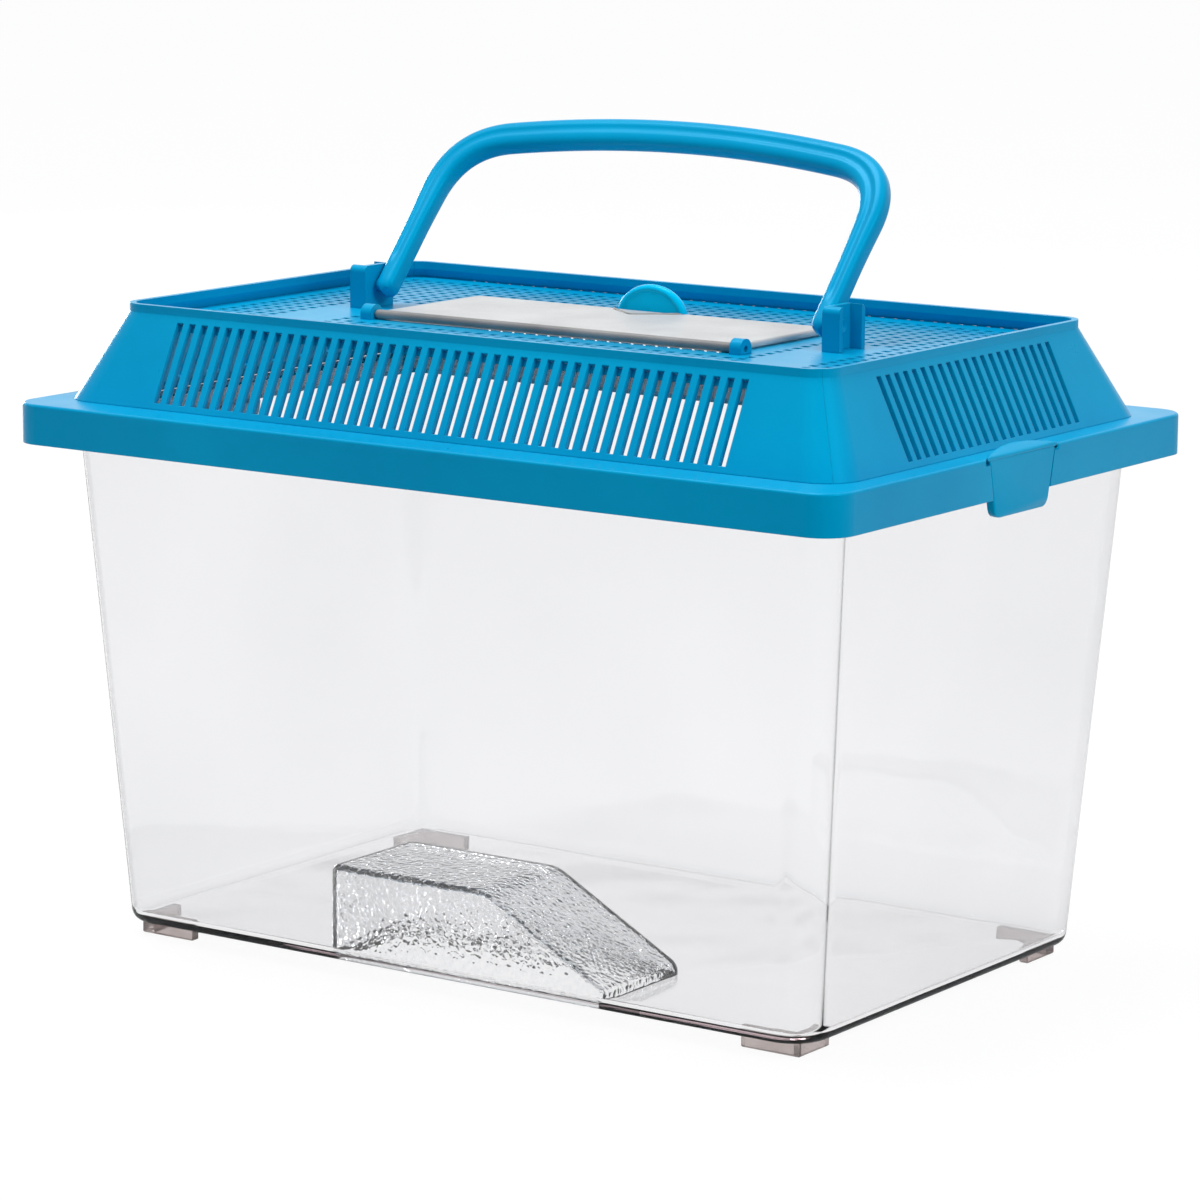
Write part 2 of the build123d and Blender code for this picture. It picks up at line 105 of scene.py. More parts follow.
# Soft light from above; the camera sees white, and clear walls see white only near the view's line
def makeWorld(spec, cameraSettings):
    world = bpy.data.worlds.new("studio")
    bpy.context.scene.world = world
    world.use_nodes = True
    tree = world.node_tree
    tree.nodes.clear()
    link = tree.links.new
    path = tree.nodes.new("ShaderNodeLightPath")
    place = tree.nodes.new("ShaderNodeTexCoord")
    split = tree.nodes.new("ShaderNodeSeparateXYZ")
    link(place.outputs["Generated"], split.inputs[0])
    lit = tree.nodes.new("ShaderNodeBackground")
    lit.inputs["Strength"].default_value = spec["ambient"]
    sky = rampNode(tree, split.outputs["Z"], spec["horizon"], spec["zenith"], 0.0, spec["zenithFrom"])
    link(sky, lit.inputs["Color"])
    forward = Vector(cameraSettings["up"]).cross(Vector(cameraSettings["right"]))
    towards = tree.nodes.new("ShaderNodeVectorMath")
    towards.operation = "DOT_PRODUCT"
    towards.inputs[1].default_value = forward
    link(place.outputs["Generated"], towards.inputs[0])
    low, high = (spec["bent"],) * 3, (1, 1, 1)
    bent = tree.nodes.new("ShaderNodeBackground")
    view = rampNode(tree, towards.outputs["Value"], low, high, spec["bentStart"], spec["bentEnd"])
    link(view, bent.inputs["Color"])
    white = tree.nodes.new("ShaderNodeBackground")
    white.inputs["Color"].default_value = (1, 1, 1, 1)
    bounced = mathNode(tree, "MAXIMUM", path.outputs["Is Transmission Ray"], path.outputs["Is Glossy Ray"])
    through = mixNode(tree, bounced, lit.outputs[0], bent.outputs[0])
    seen = mixNode(tree, path.outputs["Is Camera Ray"], through, white.outputs[0])
    out = tree.nodes.new("ShaderNodeOutputWorld")
    link(seen, out.inputs["Surface"])


bpy.context.scene.view_settings.view_transform = "Standard"
makeCamera(cameraSpec)
makeLamps(lampSpecs)
print("stage: camera and lamps")


# node helpers

# An empty node material with its shader, and the object coordinates that patterns use
def startMaterial(name):
    material = bpy.data.materials.new(name)
    material.use_nodes = True
    tree = material.node_tree
    shader = tree.nodes["Principled BSDF"]
    place = tree.nodes.new("ShaderNodeTexCoord").outputs["Object"]
    return material, tree, shader, place


def noiseNode(tree, place, scale, detail, roughness=0.5):
    node = tree.nodes.new("ShaderNodeTexNoise")
    node.inputs["Scale"].default_value = scale
    node.inputs["Detail"].default_value = detail
    node.inputs["Roughness"].default_value = roughness
    tree.links.new(place, node.inputs["Vector"])
    return node.outputs["Fac"]


# Turns a 0 to 1 pattern into a colour between low and high
def rampNode(tree, source, low, high, start=0.3, end=0.7):
    node = tree.nodes.new("ShaderNodeValToRGB")
    first, last = node.color_ramp.elements
    first.position, last.position = start, end
    first.color, last.color = (*low, 1), (*high, 1)
    tree.links.new(source, node.inputs["Fac"])
    return node.outputs["Color"]


# Turns a 0 to 1 pattern into a value between low and high
def rangeNode(tree, source, low, high):
    node = tree.nodes.new("ShaderNodeMapRange")
    node.inputs["To Min"].default_value = low
    node.inputs["To Max"].default_value = high
    tree.links.new(source, node.inputs["Value"])
    return node.outputs["Result"]


# A bump, given as its strength and its height in metres
def bumpNode(tree, height, bump, normal=None):
    node = tree.nodes.new("ShaderNodeBump")
    node.inputs["Strength"].default_value = bump[0]
    node.inputs["Distance"].default_value = bump[1]
    tree.links.new(height, node.inputs["Height"])
    if normal is not None:
        tree.links.new(normal, node.inputs["Normal"])
    return node.outputs["Normal"]


def bevelNode(tree, radius, samples=6):
    node = tree.nodes.new("ShaderNodeBevel")
    node.samples = samples
    node.inputs["Radius"].default_value = radius
    return node.outputs["Normal"]


# A math node; each input is another node's output or a plain number
def mathNode(tree, operation, first, second):
    node = tree.nodes.new("ShaderNodeMath")
    node.operation = operation
    for socket, value in zip(node.inputs, (first, second)):
        if isinstance(value, float):
            socket.default_value = value
        else:
            tree.links.new(value, socket)
    return node.outputs[0]


def mixNode(tree, factor, first, second):
    node = tree.nodes.new("ShaderNodeMixShader")
    tree.links.new(factor, node.inputs["Fac"])
    tree.links.new(first, node.inputs[1])
    tree.links.new(second, node.inputs[2])
    return node.outputs[0]


makeWorld(worldSpec, cameraSpec)
print("stage: world")


# materials

plasticIndex = 1.49


# Drives the base colour with a pattern, between the spec's low and high colour
def colourBy(tree, shader, pattern, spec):
    tree.links.new(rampNode(tree, pattern, spec["low"], spec["high"]), shader.inputs["Base Color"])


def roughBy(tree, shader, pattern, spec):
    rough = rangeNode(tree, pattern, spec["roughLow"], spec["roughHigh"])
    tree.links.new(rough, shader.inputs["Roughness"])


def letLightThrough(shader, weight):
    shader.inputs["Transmission Weight"].default_value = weight
    shader.inputs["IOR"].default_value = plasticIndex


bluePlasticSpec = {
    "low": (0.0, 0.290, 0.540),
    "high": (0.0, 0.345, 0.610),
    "shine": (0.0, 0.50, 0.85),
    "shineLevel": 0.36,
    "roughLow": 0.24,
    "roughHigh": 0.36,
    "edge": 0.45 * mm,
    "driftScale": 16.0,
    "smearScale": 90.0,
    "flowScale": 45.0,
    "flowBump": (0.12, 0.5 * mm),
    "pebbleScale": 1600.0,
    "pebbleBump": (0.10, 0.05 * mm),
}


# Glossy moulded blue: slow drift of colour, fine pebble and a faint flow of the mould
def bluePlasticMaterial(spec):
    material, tree, shader, place = startMaterial("bluePlastic")
    colourBy(tree, shader, noiseNode(tree, place, spec["driftScale"], 3.0), spec)
    roughBy(tree, shader, noiseNode(tree, place, spec["smearScale"], 4.0), spec)
    flow = noiseNode(tree, place, spec["flowScale"], 2.0)
    pebble = noiseNode(tree, place, spec["pebbleScale"], 2.0)
    normal = bevelNode(tree, spec["edge"])
    normal = bumpNode(tree, flow, spec["flowBump"], normal)
    normal = bumpNode(tree, pebble, spec["pebbleBump"], normal)
    tree.links.new(normal, shader.inputs["Normal"])
    shader.inputs["IOR"].default_value = plasticIndex
    shader.inputs["Specular Tint"].default_value = (*spec["shine"], 1)
    shader.inputs["Specular IOR Level"].default_value = spec["shineLevel"]
    return material


clearPlasticSpec = {
    "low": (0.915, 0.920, 0.930),
    "high": (0.955, 0.957, 0.965),
    "roughLow": 0.0,
    "roughHigh": 0.03,
    "driftScale": 9.0,
    "scuffScale": 260.0,
    "waveScale": 22.0,
    "waveBump": (0.25, 1.2 * mm),
    "tint": (0.80, 0.70, 0.72),
    "density": 15.0,       # of the tint, per metre of plastic
}


# Clear moulded acrylic: slight waves from the mould, hairline scuffs in the polish, a trace of tint
def clearPlasticMaterial(spec):
    material, tree, shader, place = startMaterial("clearPlastic")
    colourBy(tree, shader, noiseNode(tree, place, spec["driftScale"], 2.0), spec)
    roughBy(tree, shader, noiseNode(tree, place, spec["scuffScale"], 5.0, 0.65), spec)
    waves = noiseNode(tree, place, spec["waveScale"], 1.0)
    tree.links.new(bumpNode(tree, waves, spec["waveBump"]), shader.inputs["Normal"])
    letLightThrough(shader, 1.0)
    absorb = tree.nodes.new("ShaderNodeVolumeAbsorption")
    absorb.inputs["Color"].default_value = (*spec["tint"], 1)
    absorb.inputs["Density"].default_value = spec["density"]
    tree.links.new(absorb.outputs[0], tree.nodes["Material Output"].inputs["Volume"])
    return material


stippledPlasticSpec = {
    "low": (0.93, 0.94, 0.95),
    "high": (0.99, 0.99, 0.99),
    "roughLow": 0.04,
    "roughHigh": 0.16,
    "grainScale": 620.0,
    "grainBump": (0.5, 0.4 * mm),
    "scuffScale": 300.0,
}


# The same clear acrylic with a rough pebbled face, as on the ramp
def stippledPlasticMaterial(spec):
    material, tree, shader, place = startMaterial("stippledClearPlastic")
    cells = tree.nodes.new("ShaderNodeTexVoronoi")
    cells.inputs["Scale"].default_value = spec["grainScale"]
    tree.links.new(place, cells.inputs["Vector"])
    grain = cells.outputs["Distance"]
    colourBy(tree, shader, grain, spec)
    roughBy(tree, shader, noiseNode(tree, place, spec["scuffScale"], 3.0), spec)
    tree.links.new(bumpNode(tree, grain, spec["grainBump"]), shader.inputs["Normal"])
    letLightThrough(shader, 1.0)
    return material


frostedPlasticSpec = {
    "low": (0.62, 0.62, 0.62),
    "high": (0.74, 0.74, 0.735),
    "roughLow": 0.30,
    "roughHigh": 0.48,
    "through": 0.35,
    "cloudScale": 60.0,
    "grainScale": 900.0,
    "grainBump": (0.2, 0.1 * mm),
}
# A darker copy of the hatch plastic: painted shade for the rail's front face and for the line on the hatch
shadedFrostedSpec = {**frostedPlasticSpec, "low": (0.26, 0.25, 0.25), "high": (0.38, 0.37, 0.365)}


# Translucent grey-white hatch plastic with a fine matt grain
def frostedPlasticMaterial(spec):
    material, tree, shader, place = startMaterial("frostedPlastic")
    colourBy(tree, shader, noiseNode(tree, place, spec["cloudScale"], 4.0), spec)
    grain = noiseNode(tree, place, spec["grainScale"], 3.0)
    roughBy(tree, shader, grain, spec)
    tree.links.new(bumpNode(tree, grain, spec["grainBump"]), shader.inputs["Normal"])
    letLightThrough(shader, spec["through"])
    return material


smokySpec = {
    "low": (0.58, 0.50, 0.48),
    "high": (0.72, 0.64, 0.62),
    "roughLow": 0.08,
    "roughHigh": 0.2,
    "through": 0.8,
    "streakScale": 110.0,
    "streakBump": (0.2, 0.3 * mm),
}


# Clear plastic in its thick, edge-on state: brownish grey, with faint moulding streaks
def smokyMaterial(spec):
    material, tree, shader, place = startMaterial("smokyClearPlastic")
    streak = noiseNode(tree, place, spec["streakScale"], 4.0)
    colourBy(tree, shader, streak, spec)
    roughBy(tree, shader, streak, spec)
    tree.links.new(bumpNode(tree, streak, spec["streakBump"]), shader.inputs["Normal"])
    letLightThrough(shader, spec["through"])
    return material


floorSpec = {
    "low": (0.52, 0.52, 0.52),
    "high": (0.56, 0.56, 0.56),
    "toneScale": 4.0,
    "rough": 0.8,
    "seenShare": 0.89,     # of its own white in what the camera and clear walls see
    "seenWhite": 1.06,
    "half": 40.0,
    "drop": 0.4 * mm,      # below the feet, so that they never share a face
}


# Pale studio floor that the camera sees as white, with the object's soft shadow on it
def floorMaterial(spec):
    material, tree, shader, place = startMaterial("studioFloor")
    colourBy(tree, shader, noiseNode(tree, place, spec["toneScale"], 2.0), spec)
    shader.inputs["Roughness"].default_value = spec["rough"]
    path = tree.nodes.new("ShaderNodeLightPath")
    seen = mathNode(tree, "MAXIMUM", path.outputs["Is Camera Ray"], path.outputs["Is Transmission Ray"])
    share = mathNode(tree, "MULTIPLY", seen, spec["seenShare"])
    glow = tree.nodes.new("ShaderNodeEmission")
    glow.inputs["Strength"].default_value = spec["seenWhite"]
    surface = mixNode(tree, share, shader.outputs[0], glow.outputs[0])
    tree.links.new(surface, tree.nodes["Material Output"].inputs["Surface"])
    return material


# The lid's blue painted lighter for the catch: painted light that makes up for the shade it sits in
litCatchBlueSpec = {
    **bluePlasticSpec,
    "low": (0.0, 0.46, 0.80),
    "high": (0.0, 0.54, 0.88),
    "roughLow": 0.14,
    "roughHigh": 0.22,
    "edge": 0.2 * mm,
}
blue = bluePlasticMaterial(bluePlasticSpec)
litCatchBlue = bluePlasticMaterial(litCatchBlueSpec)
smoky = smokyMaterial(smokySpec)
clear = clearPlasticMaterial(clearPlasticSpec)
stippled = stippledPlasticMaterial(stippledPlasticSpec)
frosted = frostedPlasticMaterial(frostedPlasticSpec)
shadedFrosted = frostedPlasticMaterial(shadedFrostedSpec)
slotMaterials = {"blue_plastic": blue, "clear_plastic": clear, "frosted_plastic": frosted}
for entry in frame["record"]["subparts"]:
    node = nodes[entry["node"]]
    node.data.materials.clear()
    node.data.materials.append(slotMaterials[entry["material_slot"]])
print("stage: materials on the frame")


# mesh helpers

# A quad mesh from an array of points (along, across, 3); wrapping joins the last line to the first
def meshFromGrid(name, points, wrapAcross=False, wrapAlong=False):
    along, across = points.shape[:2]
    index = np.arange(along * across).reshape(along, across)
    if wrapAcross:
        index = np.concatenate([index, index[:, :1]], axis=1)
    if wrapAlong:
        index = np.concatenate([index, index[:1]], axis=0)
    quads = np.stack([index[:-1, :-1], index[1:, :-1], index[1:, 1:], index[:-1, 1:]], axis=-1)
    mesh = bpy.data.meshes.new(name)
    mesh.from_pydata(points.reshape(-1, 3).tolist(), [], quads.reshape(-1, 4).tolist())
    mesh.update()
    return mesh


# The quads between rings of as many points each, which lie one beyond the other
def ringQuads(count, rings):
    return [
        (level + i, level + (i + 1) % count, level + count + (i + 1) % count, level + count + i)
        for level in range(0, count * (rings - 1), count)
        for i in range(count)
    ]


skinSpec = {
    "weld": 1e-6,
    "sliver": 1e-7,
    "sharpAngle": math.radians(38.0),
}


# Joins meshes into one piece: seams and poles welded, faces turned outward, and riding on its body
def addPiece(name, meshes, material, body, replaced=()):
    work = bmesh.new()
    for mesh in meshes:
        work.from_mesh(mesh)
    bmesh.ops.remove_doubles(work, verts=work.verts, dist=skinSpec["weld"])
    bmesh.ops.dissolve_degenerate(work, edges=work.edges, dist=skinSpec["sliver"])
    bmesh.ops.recalc_face_normals(work, faces=work.faces)
    mesh = bpy.data.meshes.new(name)
    work.to_mesh(mesh)
    work.free()
    for polygon in mesh.polygons:
        polygon.use_smooth = True
    mesh.set_sharp_from_angle(angle=skinSpec["sharpAngle"])
    piece = bpy.data.objects.new(name, mesh)
    bpy.context.scene.collection.objects.link(piece)
    mesh.materials.append(material)
    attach(piece, body)
    if replaced:
        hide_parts(*replaced)


# Points of |x/a|^n + |y/b|^n = 1 at the given angles
def superEllipse(angle, halfWidth, halfThickness, power):
    across = np.sign(np.cos(angle)) * np.abs(np.cos(angle)) ** (2 / power) * halfWidth
    through = np.sign(np.sin(angle)) * np.abs(np.sin(angle)) ** (2 / power) * halfThickness
    return across, through


# Rises from 0 to 1 as 3x squared minus 2x cubed, with no slope at either end
def smoothStep(x):
    x = np.clip(x, 0, 1)
    return x * x * (3 - 2 * x)


roundEndShare = 0.4        # length of a rod's rounded end over its radius


# A rod along X with rounded ends
def rodMesh(name, radius, half, y, z, around=24, ends=5):
    along, across = [], []
    for angle in np.linspace(0, math.pi / 2, ends):
        along.append(-half + radius * roundEndShare * (1 - math.sin(angle)))
        across.append(radius * math.sin(angle))
    along = along + [-a for a in along[::-1]]
    across = across + across[::-1]
    angle = np.linspace(0, 2 * math.pi, around, endpoint=False)
    x = np.broadcast_to(np.array(along)[:, None], (len(along), around))
    ringY = y + np.array(across)[:, None] * np.cos(angle)
    ringZ = z + np.array(across)[:, None] * np.sin(angle)
    return meshFromGrid(name, np.stack([x, ringY, ringZ], axis=-1) * mm, wrapAcross=True)


# floor

floorSigns = [(-1, -1), (1, -1), (1, 1), (-1, 1)]
floorMesh = bpy.data.meshes.new("studioFloor")
floorCorners = [(signX * floorSpec["half"], signY * floorSpec["half"], 0) for signX, signY in floorSigns]
floorMesh.from_pydata(floorCorners, [], [(0, 1, 2, 3)])
floorMesh.materials.append(floorMaterial(floorSpec))
floor = bpy.data.objects.new("studioFloor", floorMesh)
floor.location.z = -floorSpec["drop"]
bpy.context.scene.collection.objects.link(floor)
print("stage: floor")


# carrying handle

handleJoint = [j for j in frame["joints"] if j["name"] == "handle_swing"][0]
handleSpec = {
    "pivotHeight": handleJoint["pos_m"][2],
    "lean": math.radians(41.0),
    "legCentre": 81.3 * mm,
    "rise": 64.0 * mm,
    "arch": 8.3 * mm,
    "foot": 3.6 * mm,
    "setback": 20.0 * mm,
    "legWidth": 6.7 * mm,
    "gripWidth": 9.9 * mm,
    "legThickness": 6.8 * mm,
    "gripThickness": 7.4 * mm,
    "power": 3.0,
    "grooveWidth": 1.0 * mm,
    "grooveDepth": 0.55 * mm,
    "grooveStart": 9.0 * mm,   # run from the foot
    "grooveRun": 6.0 * mm,
    "swellStart": 22.0 * mm,
    "swellRun": 42.0 * mm,
    "pinStart": 80.3,          # inside the leg
    "pinEnd": 88.2,
    "pinRadius": 2.0,
    "pinAround": 32,
    "legSteps": 60,
    "gripSteps": 120,
    "steps": 220,
    "around": 72,
}


# Half of the centre line in the handle's own plane, foot to middle, then mirrored. The leg is a
# straight line up, the corner a quadratic curve between the two tangents, and the grip a
# parabola: the rise less the arch times the square of the reach over the leg's reach.
def handlePath(spec):
    top = spec["rise"] - spec["arch"]
    foot = np.array([spec["legCentre"], -spec["foot"]])
    bendStart = np.array([spec["legCentre"], top - spec["setback"]])
    s = spec["legCentre"] - spec["setback"]
    bendEnd = np.array([s, spec["rise"] - spec["arch"] * (s / spec["legCentre"]) ** 2])
    slope = -2 * spec["arch"] * s / spec["legCentre"] ** 2
    corner = np.array([spec["legCentre"], bendEnd[1] + slope * (spec["legCentre"] - s)])
    t = np.linspace(0, 1, spec["legSteps"])[:, None]
    leg = foot + (bendStart - foot) * t
    bend = (1 - t) ** 2 * bendStart + 2 * t * (1 - t) * corner + t ** 2 * bendEnd
    along = np.linspace(s, 0, spec["gripSteps"])[:, None]
    grip = np.hstack([along, spec["rise"] - spec["arch"] * (along / spec["legCentre"]) ** 2])
    half = np.concatenate([leg[:-1], bend[:-1], grip])
    whole = np.concatenate([half * (1, 1), (half * (-1, 1))[::-1][1:]])
    length = np.concatenate([[0], np.cumsum(np.linalg.norm(np.diff(whole, axis=0), axis=1))])
    even = np.linspace(0, length[-1], spec["steps"])
    line = np.stack([np.interp(even, length, whole[:, k]) for k in (0, 1)], axis=1)
    return line, even, length[-1]


# A rounded box section carried along the centre line; it swells from leg to grip and rounds off
# at the feet
def handleMesh(spec):
    line, run, total = handlePath(spec)
    tangent = np.gradient(line, axis=0)
    tangent /= np.linalg.norm(tangent, axis=1)[:, None]
    normal = np.stack([tangent[:, 1], -tangent[:, 0]], axis=1)
    fromFoot = np.minimum(run, total - run)
    swell = smoothStep((fromFoot - spec["swellStart"]) / spec["swellRun"])
    halfWidth = (spec["legWidth"] + (spec["gripWidth"] - spec["legWidth"]) * swell) / 2
    halfThickness = (spec["legThickness"] + (spec["gripThickness"] - spec["legThickness"]) * swell) / 2
    tip = np.clip(1 - fromFoot / (spec["legWidth"] / 2), 0, 1)
    rounding = np.sqrt(np.maximum(1 - tip ** 2, 0))
    angle = np.linspace(0, 2 * math.pi, spec["around"], endpoint=False)[None, :]
    sectionWidth = (halfWidth * rounding)[:, None]
    sectionThickness = (halfThickness * (0.5 + 0.5 * rounding))[:, None]
    across, through = superEllipse(angle, sectionWidth, sectionThickness, spec["power"])
    grooveFade = smoothStep((fromFoot - spec["grooveStart"]) / spec["grooveRun"])[:, None]
    groove = spec["grooveDepth"] * np.exp(-(across / spec["grooveWidth"]) ** 4) * grooveFade
    through = through - np.sign(through) * groove * (np.abs(through) > spec["legThickness"] / 4)
    x = line[:, 0:1] + normal[:, 0:1] * across
    planeH = line[:, 1:2] + normal[:, 1:2] * across
    lean = spec["lean"]
    y = planeH * math.sin(lean) - through * math.cos(lean)
    z = spec["pivotHeight"] + planeH * math.cos(lean) + through * math.sin(lean)
    return meshFromGrid("handle", np.stack([x, y, z], axis=-1), wrapAcross=True)


# One of the two pins that run from the handle's feet into the lugs
def handlePin(spec, side):
    start, end = spec["pinStart"], spec["pinEnd"]
    half, height = (end - start) / 2, spec["pivotHeight"] / mm
    pin = rodMesh("handlePin", spec["pinRadius"], half, 0.0, height, spec["pinAround"])
    pin.transform(Matrix.Translation((side * (start + end) / 2 * mm, 0, 0)))
    return pin


handleMeshes = [handleMesh(handleSpec), handlePin(handleSpec, -1), handlePin(handleSpec, 1)]
addPiece("carryHandle", handleMeshes, blue, "handle", ["handle"])
print("stage: handle")


# loops and prisms for moulded pieces

# Points round a rectangle with rounded corners; the same counts on every loop, so loops join up
def roundedLoop(halfX, halfY, radius, centre=(0.0, 0.0), perSide=14, perCorner=10):
    spot = []
    quarter = np.linspace(0, math.pi / 2, perCorner, endpoint=False)
    run = np.linspace(0, 1, perSide, endpoint=False)[:, None]
    corners = [(1, -1, -0.5), (1, 1, 0.0), (-1, 1, 0.5), (-1, -1, 1.0)]
    for signX, signY, turn in corners:
        middle = np.array([signX * (halfX - radius), signY * (halfY - radius)])
        angle = quarter + turn * math.pi
        arc = middle + radius * np.stack([np.cos(angle), np.sin(angle)], axis=1)
        lastAngle = (turn + 0.5) * math.pi
        start = middle + radius * np.array([math.cos(lastAngle), math.sin(lastAngle)])
        step = np.array([-signY, signX]) * np.array([2 * (halfX - radius), 2 * (halfY - radius)])
        side = start + run * step * (0.5 * np.abs([-signY - signX, signX - signY]))
        spot += [arc, side]
    return np.concatenate(spot) + np.array(centre)


# Stacks rounded loops, each given as half length, half width, corner radius, height and centre
def loopRows(rows):
    stack = []
    for halfX, halfY, radius, height, *centre in rows:
        loop = roundedLoop(halfX, halfY, radius, centre[0] if centre else (0.0, 0.0))
        stack.append(np.column_stack([loop, np.full(len(loop), height)]))
    return np.array(stack) * mm


# A quadratic curve of (reach, height) pairs from start to end, drawn toward the point middle
def bend(start, middle, end, count=5):
    t = np.linspace(0, 1, count)[:, None]
    start, middle, end = map(np.array, (start, middle, end))
    return (1 - t) ** 2 * start + 2 * t * (1 - t) * middle + t ** 2 * end


# tank

tankSpec = {
    "halfLength": 128.85,      # outside, at the underside of the floor
    "halfWidth": 79.7,
    "cornerRadius": 13.0,
    "innerCornerRadius": 8.5,
    "edgeRadius": 4.0,
    "innerEdgeRadius": 3.0,
    "wall": 2.2,
    "under": 4.2,              # height of the underside over the table
    "floorTop": 6.6,
    "rimUnder": 165.7,
    "rimTop": 167.7,
    "rimHalfLength": 147.1,
    "rimHalfWidth": 99.6,
    "rimRadius": 7.1,
    "lipFoot": 159.2,
    "lipThickness": 1.8,
    "softEdge": 0.6,
    "endLean": math.tan(math.radians(4.1)),
    "sideLean": math.tan(math.radians(3.4)),
    "holeHalf": (49.0, 19.0),  # of the hollow under the island
    "holeCentre": (6.0, -56.5),
    "holeRadius": 1.0,
    "edgeSteps": 9,
    "innerEdgeSteps": 7,
    "softSteps": 4,
    "wallSteps": 14,
}


def tankLoop(spec, inset, height, radius):
    lift = height - spec["under"]
    return (
        spec["halfLength"] + lift * spec["endLean"] - inset,
        spec["halfWidth"] + lift * spec["sideLean"] - inset,
        radius,
        height,
    )


# The whole moulding as one closed skin: out under the floor, up the walls, over the rim and its
# lip, down the inside and back over the floor to the edge of the island's hollow
def tankMesh(spec):
    corner, inner, soft = spec["cornerRadius"], spec["innerCornerRadius"], spec["softEdge"]
    edge, innerEdge, wall = spec["edgeRadius"], spec["innerEdgeRadius"], spec["wall"]
    under, floorTop = spec["under"], spec["floorTop"]
    rimUnder, rimTop, lip = spec["rimUnder"], spec["rimTop"], spec["lipThickness"]
    rimX, rimY, rimRadius = spec["rimHalfLength"], spec["rimHalfWidth"], spec["rimRadius"]
    rows = [(*spec["holeHalf"], spec["holeRadius"], under, spec["holeCentre"])]
    for inset, height in bend((edge, under), (0, under), (0, under + edge), spec["edgeSteps"]):
        rows.append(tankLoop(spec, inset, height, corner - inset))
    for height in np.linspace(under + edge, rimUnder - soft, spec["wallSteps"])[1:]:
        rows.append(tankLoop(spec, 0, height, corner))
    rows.append(tankLoop(spec, -soft, rimUnder, corner + soft))
    rows.append((rimX - lip, rimY - lip, rimRadius - lip, rimUnder))
    rows.append((rimX - lip, rimY - lip, rimRadius - lip, spec["lipFoot"]))
    rows.append((rimX, rimY, rimRadius, spec["lipFoot"]))
    for inset, height in bend((0, rimTop - soft), (0, rimTop), (soft, rimTop), spec["softSteps"]):
        rows.append((rimX - inset, rimY - inset, rimRadius - inset, height))
    start, end = (wall - soft, rimTop), (wall, rimTop - soft)
    for inset, height in bend(start, (wall, rimTop), end, spec["softSteps"]):
        rows.append(tankLoop(spec, inset, height, inner + wall - inset))
    for height in np.linspace(rimTop - soft, floorTop + innerEdge, spec["wallSteps"])[1:]:
        rows.append(tankLoop(spec, wall, height, inner))
    start, end = (wall, floorTop + innerEdge), (wall + innerEdge, floorTop)
    for inset, height in bend(start, (wall, floorTop), end, spec["innerEdgeSteps"])[1:]:
        rows.append(tankLoop(spec, inset, height, inner - (inset - wall)))
    rows.append((*spec["holeHalf"], spec["holeRadius"], floorTop, spec["holeCentre"]))
    return meshFromGrid("tankWalls", loopRows(rows), wrapAcross=True, wrapAlong=True)


footSpec = {
    "cornerX": 122.85,
    "cornerY": 73.7,
    "reachX": 20.0,
    "reachY": 16.0,
    "bar": 3.0,
    "height": 4.18,
    "soft": 0.35,
}


# An L of two bars, with its lower edge drawn in a little
def footMesh(spec, signX, signY):
    x, y, bar = spec["cornerX"], spec["cornerY"], spec["bar"]
    outline = np.array([
        (x, y), (x - spec["reachX"], y), (x - spec["reachX"], y - bar),
        (x - bar, y - bar), (x - bar, y - spec["reachY"]), (x, y - spec["reachY"]),
    ])
    drawnIn = np.array([(-1, -1), (1, -1), (1, 1), (-1, -1), (1, 1), (-1, 1)]) * spec["soft"]
    flip = np.array([signX, signY])
    count = len(outline)
    low = np.column_stack([(outline + drawnIn) * flip, np.zeros(count)])
    middle = np.column_stack([outline * flip, np.full(count, spec["soft"])])
    high = np.column_stack([outline * flip, np.full(count, spec["height"])])
    points = np.concatenate([low, middle, high]) * mm
    caps = [tuple(range(count))[::-1], tuple(range(2 * count, 3 * count))]
    faces = caps + ringQuads(count, 3)
    mesh = bpy.data.meshes.new("foot")
    mesh.from_pydata(points.tolist(), [], faces)
    return mesh


addPiece("tankWalls", [tankMesh(tankSpec)], clear, "tank", ["tank", "tank_rim"])
feetMeshes = [footMesh(footSpec, signX, signY) for signX in (-1, 1) for signY in (-1, 1)]
addPiece("tankFeet", feetMeshes, smoky, "tank")
print("stage: tank")


# basking island

islandSpec = {
    "left": -45.0,
    "right": 57.0,
    "rampStart": 12.0,
    "front": -77.3,
    "back": -35.5,
    "foot": 6.6,
    "top": 34.0,
    "rampFoot": 9.8,
    "wall": 2.0,
    "cornerRadius": 3.0,
    "edge": 2.2,
    "leastRadius": 0.8,
    "leastEdge": 0.6,
    "leastTopRadius": 0.3,
    "stipplePitch": 2.1,
    "stippleHeight": 0.28,
    "bendSoftness": 1.2,
    "dotsFrom": 2.0,           # past the start of the ramp
    "dotsRise": 3.0,
    "dotsUntil": 4.0,          # before the right end
    "dotsFall": 2.0,
    "perSide": 60,
    "perCorner": 6,
    "wallRows": 5,
    "edgeRows": 5,
    "capRows": 33,
}


# Height of the top: flat, then a straight ramp, with a soft bend between them
def islandTop(spec, x):
    slope = (spec["top"] - spec["rampFoot"]) / (spec["right"] - spec["rampStart"])
    past = x - spec["rampStart"]
    softness = spec["bendSoftness"]
    return spec["top"] - slope * softness * np.log1p(np.exp(past / softness))


